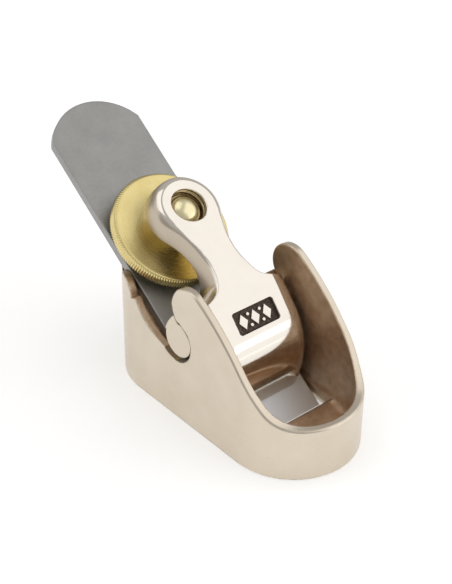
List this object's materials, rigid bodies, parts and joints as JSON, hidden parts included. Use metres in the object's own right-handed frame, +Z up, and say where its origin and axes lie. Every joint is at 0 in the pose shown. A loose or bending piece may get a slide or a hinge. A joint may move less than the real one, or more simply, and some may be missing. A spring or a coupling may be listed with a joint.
{
  "type": "hand plane",
  "caption": "Small flat-soled finger plane: hollow bronze body, steel iron bedded at a low angle, pivoting lever cap and a knurled brass clamping screw.",
  "frame": {"origin": "centre of the sole's flat face, on the plane's middle line", "axes": "+X along the sole towards the toe, +Y across to the plane's left side, +Z up from the sole"},
  "size_m": [0.0685, 0.023, 0.0389],
  "materials": {
    "body_bronze": "satin, finely ground bronze outside, brown as-cast skin inside",
    "blade_steel": "ground satin",
    "cap_bronze": "mirror polished pale bronze",
    "screw_brass": "turned",
    "wheel_brass": "turned, straight knurled rim"
  },
  "bodies": {
    "body": {"body": "body_bronze"},
    "blade": {"blade": "blade_steel"},
    "lever_cap": {"lever_cap": "cap_bronze"},
    "clamp_screw": {"clamp_screw": "screw_brass"},
    "thumbwheel": {"thumbwheel": "wheel_brass"}
  },
  "joints": [
    {"name": "blade_slide", "type": "slide", "parent": "body", "child": "blade", "axis": [-0.809, 0, 0.5878], "range_m": [-0.0006, 0.012]},
    {"name": "cap_pivot", "type": "hinge", "parent": "body", "child": "lever_cap", "pos_m": [-0.002, 0, 0.01575], "axis": [0, -1, 0], "range_deg": [0, 3.25]},
    {"name": "screw_travel", "type": "slide", "parent": "lever_cap", "child": "clamp_screw", "axis": [0.5878, 0, 0.809], "range_m": [0, 0.00101]},
    {"name": "screw_turn", "type": "hinge", "parent": "clamp_screw", "child": "thumbwheel", "pos_m": [-0.02, 0, 0.02216], "axis": [0.5878, 0, 0.809], "range_deg": [0, 360]}
  ],
  "couplings": [
    {"joint": "screw_travel", "follows": "screw_turn", "m_per_rad": 0.00015915},
    {"joint": "cap_pivot", "follows": "screw_turn", "ratio": 0.0086829}
  ]
}
